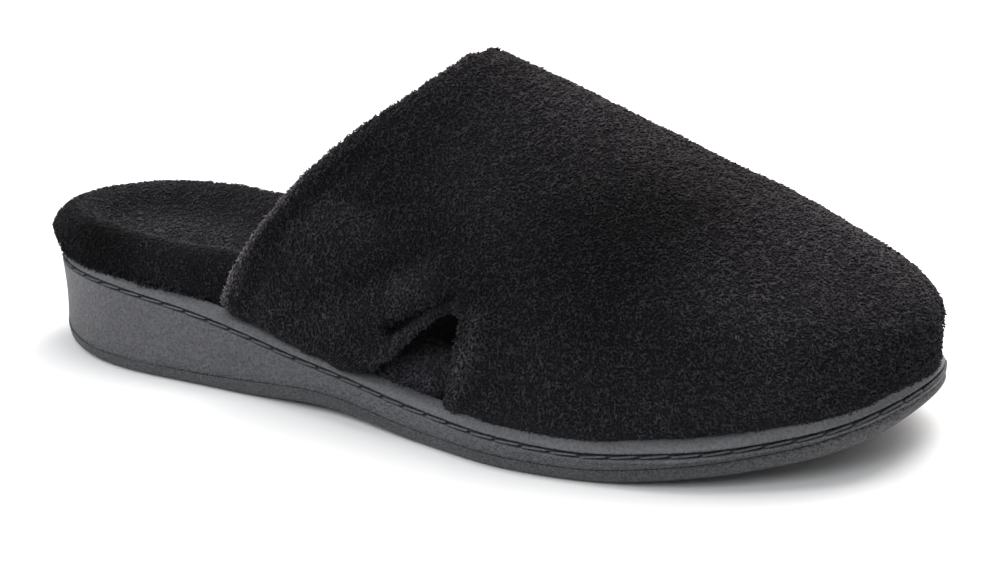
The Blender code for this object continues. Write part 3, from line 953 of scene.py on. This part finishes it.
def crispCopy(nodeName, pieceName, look):
    # merged copy with its corners kept, and its glue line drawn shut
    bm = mergedCopy(nodeName)
    bm.normal_update()
    crease = bm.edges.layers.float.new("crease_edge")
    for edge in bm.edges:
        if edge.is_manifold and edge.calc_face_angle() > math.radians(look["cornerAngle"]):
            joint = any(face.normal.z * look["glueSide"] > 0.85 for face in edge.link_faces)
            edge[crease] = look["glueCrease"] if joint else look["crease"]
    for vert in bm.verts:
        away = stitchHeight(vert.co.x / mm - soleShape["shift"][0]) - vert.co.z / mm
        flat = [face for face in vert.link_faces if face.normal.z * look["glueSide"] > 0.85 and away > 1.3]
        walls = [face for face in vert.link_faces if abs(face.normal.z) < 0.8]
        toe = float(smoothStep(60.0, 105.0, vert.co.x / mm))
        if flat and walls:
            outward = sum((face.normal for face in walls), Vector())
            outward.z = 0.0
            vert.co += outward.normalized() * look["glueFill"] * (1 - 0.85 * toe) * mm
        heel = float(smoothStep(-40.0, -90.0, vert.co.x / mm))
        if flat:
            lift = look["toeLift"] * toe - look["heelDrop"] * heel
            vert.co.z += (lift + look["glueSide"] * look["glueClose"]) * mm
        under = look["glueSide"] > 0 and not flat and vert.normal.z < -0.2
        vert.co.z += float(springAt(vert.co.x / mm, "under" if under else "lines")) * mm
    piece = addPiece(pieceName, bm)
    addRounding(piece, look["rounds"])
    bakeModifiers(piece)
    return piece


soleForm = dict(
    cornerAngle=28, rounds=2, glueCrease=0.8, glueFill=0.72, glueClose=0.3, toeLift=0.5, heelDrop=2.0
)
wedgeLook = dict(soleForm, crease=0.75, glueSide=-1)
treadLook = dict(soleForm, crease=0.6, glueSide=1)
grooveLook = dict(inset=1.4, dark=0.5, clear=1.05, toeWiden=0.25, jointShade=0.4, jointReach=3.0)
soleWedge = crispCopy("midsole", "soleWedge", wedgeLook)
co, normals = readVerts(soleWedge.data)
setAttribute(soleWedge.data, "strip", smoothStep(0.3, 0.6, normals[:, 2]))
plan, heights = soleEdge(np.linspace(0.0, 2 * math.pi, 3000, endpoint=False), grooveLook["inset"])
heights = heights + springAt(plan[:, 0], "lines")
grooveTree = KDTree(len(plan))
for index, spot in enumerate(np.column_stack([plan, heights])):
    grooveTree.insert(spot, index)
grooveTree.balance()
grooveAway = np.array([grooveTree.find(spot)[2] for spot in co])
grooveAway -= grooveLook["toeWiden"] * smoothStep(60.0, 105.0, co[:, 0])
bins = np.arange(-135.0, 136.0, 5.0)
jointHeights = [np.min(co[np.abs(co[:, 0] - middle) < 4.0, 2], initial=30.0) for middle in bins]
aboveJoint = co[:, 2] - np.interp(co[:, 0], bins, jointHeights)
# painted shade in a band above the glue joint and in the stitch groove
jointShade = grooveLook["jointShade"] * (1 - smoothStep(0.0, grooveLook["jointReach"], aboveJoint))
grooveShade = 1 - smoothStep(grooveLook["dark"], grooveLook["clear"], grooveAway)
setAttribute(soleWedge.data, "groove", np.maximum(grooveShade, jointShade))
soleWedge.data.materials.append(soleMaterial("wedgeFoam", wedgeFoam))
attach(soleWedge, "root")
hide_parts("midsole")

soleTread = crispCopy("outsole", "soleTread", treadLook)
co = readVerts(soleTread.data)[0]
# toward the toe the outsole fades to its lighter colour, a painted highlight
setAttribute(soleTread.data, "strip", smoothStep(80.0, 124.0, co[:, 0]))
soleTread.data.materials.append(soleMaterial("treadRubber", treadRubber))
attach(soleTread, "root")
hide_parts("outsole")
print("sole", len(soleWedge.data.polygons), len(soleTread.data.polygons), "faces")


# thread in the groove round the sole

stitchSize = dict(pitch=7.6, long=7.0, tall=0.46, deep=1.1, inset=0.65, tilt=3.0)
turns = np.linspace(0.0, 2 * math.pi, 6001)
plan, heights = soleEdge(turns, stitchSize["inset"])
path = np.column_stack([plan, heights + springAt(plan[:, 0], "lines")])
arc = np.concatenate([[0.0], np.cumsum(np.linalg.norm(np.diff(path, axis=0), axis=1))])
stitchCount = round(arc[-1] / stitchSize["pitch"])


def onPath(length):
    length = length % arc[-1]
    return np.column_stack([np.interp(length, arc, path[:, k]) for k in range(3)])


threadBm = bmesh.new()
bmesh.ops.create_uvsphere(threadBm, u_segments=8, v_segments=7, radius=1.0)
bmesh.ops.triangulate(threadBm, faces=threadBm.faces)
threadBm.verts.index_update()
bead = np.array([vert.co for vert in threadBm.verts])
beadFaces = np.array([[vert.index for vert in face.verts] for face in threadBm.faces])
threadBm.free()
bead = bead[:, [2, 0, 1]]
bead[:, 0] = np.sign(bead[:, 0]) * np.abs(bead[:, 0]) ** 0.6
bead[:, 1:] *= np.maximum(np.linalg.norm(bead[:, 1:], axis=1, keepdims=True), 1e-3) ** -0.7
mid = (np.arange(stitchCount) + 0.5) * arc[-1] / stitchCount
spots = onPath(mid)
forward = unit(onPath(mid + 1.5) - onPath(mid - 1.5))
outward = unit(np.cross(forward, [0.0, 0.0, 1.0]))
upward = np.cross(outward, forward)
tilt = math.radians(stitchSize["tilt"])
forward, upward = (
    forward * math.cos(tilt) + upward * math.sin(tilt),
    upward * math.cos(tilt) - forward * math.sin(tilt),
)
threadPoints = (
    spots[:, None]
    + bead[None, :, :1] * forward[:, None] * stitchSize["long"] / 2
    + bead[None, :, 1:2] * outward[:, None] * stitchSize["deep"] / 2
    + bead[None, :, 2:] * upward[:, None] * stitchSize["tall"] / 2
).reshape(-1, 3)
threadFaces = (beadFaces[None] + len(bead) * np.arange(stitchCount)[:, None, None]).reshape(-1, 3)
sideStitches = joinedMesh("sideStitches", threadPoints, threadFaces)
setAttribute(sideStitches.data, "strip", np.zeros(len(threadPoints)))
# the thread is painted darker, more toward the toe: painted shade down in the groove
setAttribute(sideStitches.data, "groove", 0.3 + 0.45 * smoothStep(20.0, 100.0, threadPoints[:, 0]))
sideStitches.data.materials.append(soleMaterial("threadGrey", threadGrey))
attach(sideStitches, "root")
print("stitches", stitchCount)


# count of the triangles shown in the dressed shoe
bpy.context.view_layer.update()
meshes = [item for item in scene.objects if item.type == "MESH"]
shown = [item for item in meshes if item.visible_get() and item is not floor]
triangles = sum(len(face.vertices) - 2 for item in shown for face in item.data.polygons)
print("finished", triangles, "triangles shown")
